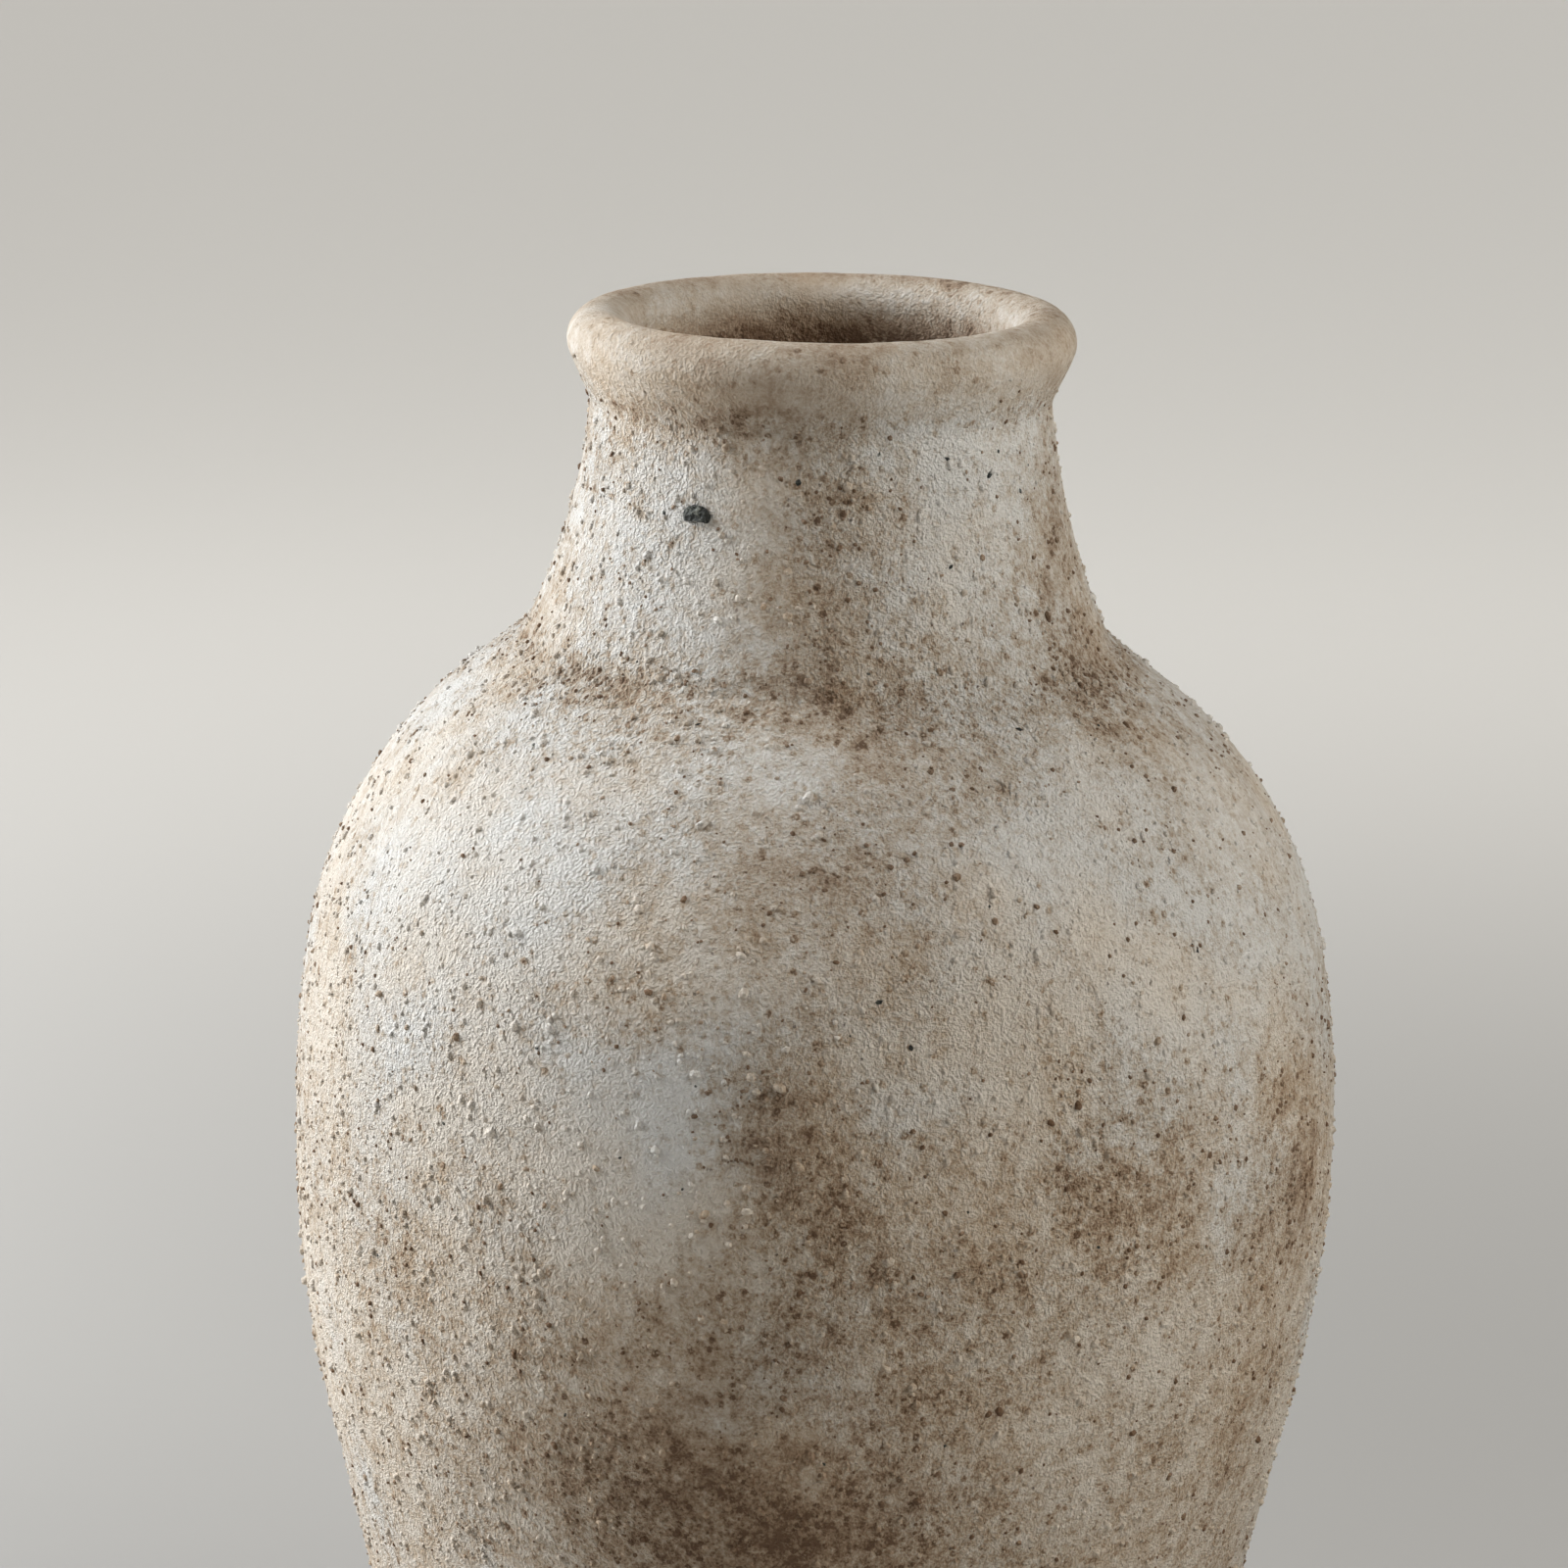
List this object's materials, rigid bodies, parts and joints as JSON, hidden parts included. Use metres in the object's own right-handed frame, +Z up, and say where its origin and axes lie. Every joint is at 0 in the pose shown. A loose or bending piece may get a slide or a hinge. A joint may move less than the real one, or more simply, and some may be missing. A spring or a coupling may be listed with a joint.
{
  "type": "stoneware vase",
  "caption": "Tall rough stoneware vase with a round shoulder, flared neck, rolled lip and a turned foot ring, hollow and open at the top.",
  "frame": {"origin": "middle of the footprint, on the plane the foot ring stands on", "axes": "+Z up the axis of the vase; -Y is the side seen in front, with the stone chip a little to its left; +X is to the right"},
  "size_m": [0.1606, 0.1606, 0.28],
  "materials": {
    "coated_clay": "matte, sandy, off-white slip wash",
    "bare_clay": "matte, gritty, unglazed buff-brown",
    "luting_slip": "matte brown",
    "dark_stone": "rough split stone",
    "grog": "rough fired grains"
  },
  "bodies": {
    "root": {"foot_ring": "bare_clay", "foot_slip": "luting_slip", "floor_disc": "bare_clay", "floor_slip": "luting_slip", "lower_wall": "coated_clay", "belly_slip": "luting_slip", "shoulder_wall": "coated_clay", "neck_slip": "luting_slip", "neck_collar": "coated_clay", "lip_slip": "luting_slip", "rolled_lip": "coated_clay", "stone_chip": "dark_stone", "grog_grains": "grog"}
  },
  "joints": []
}
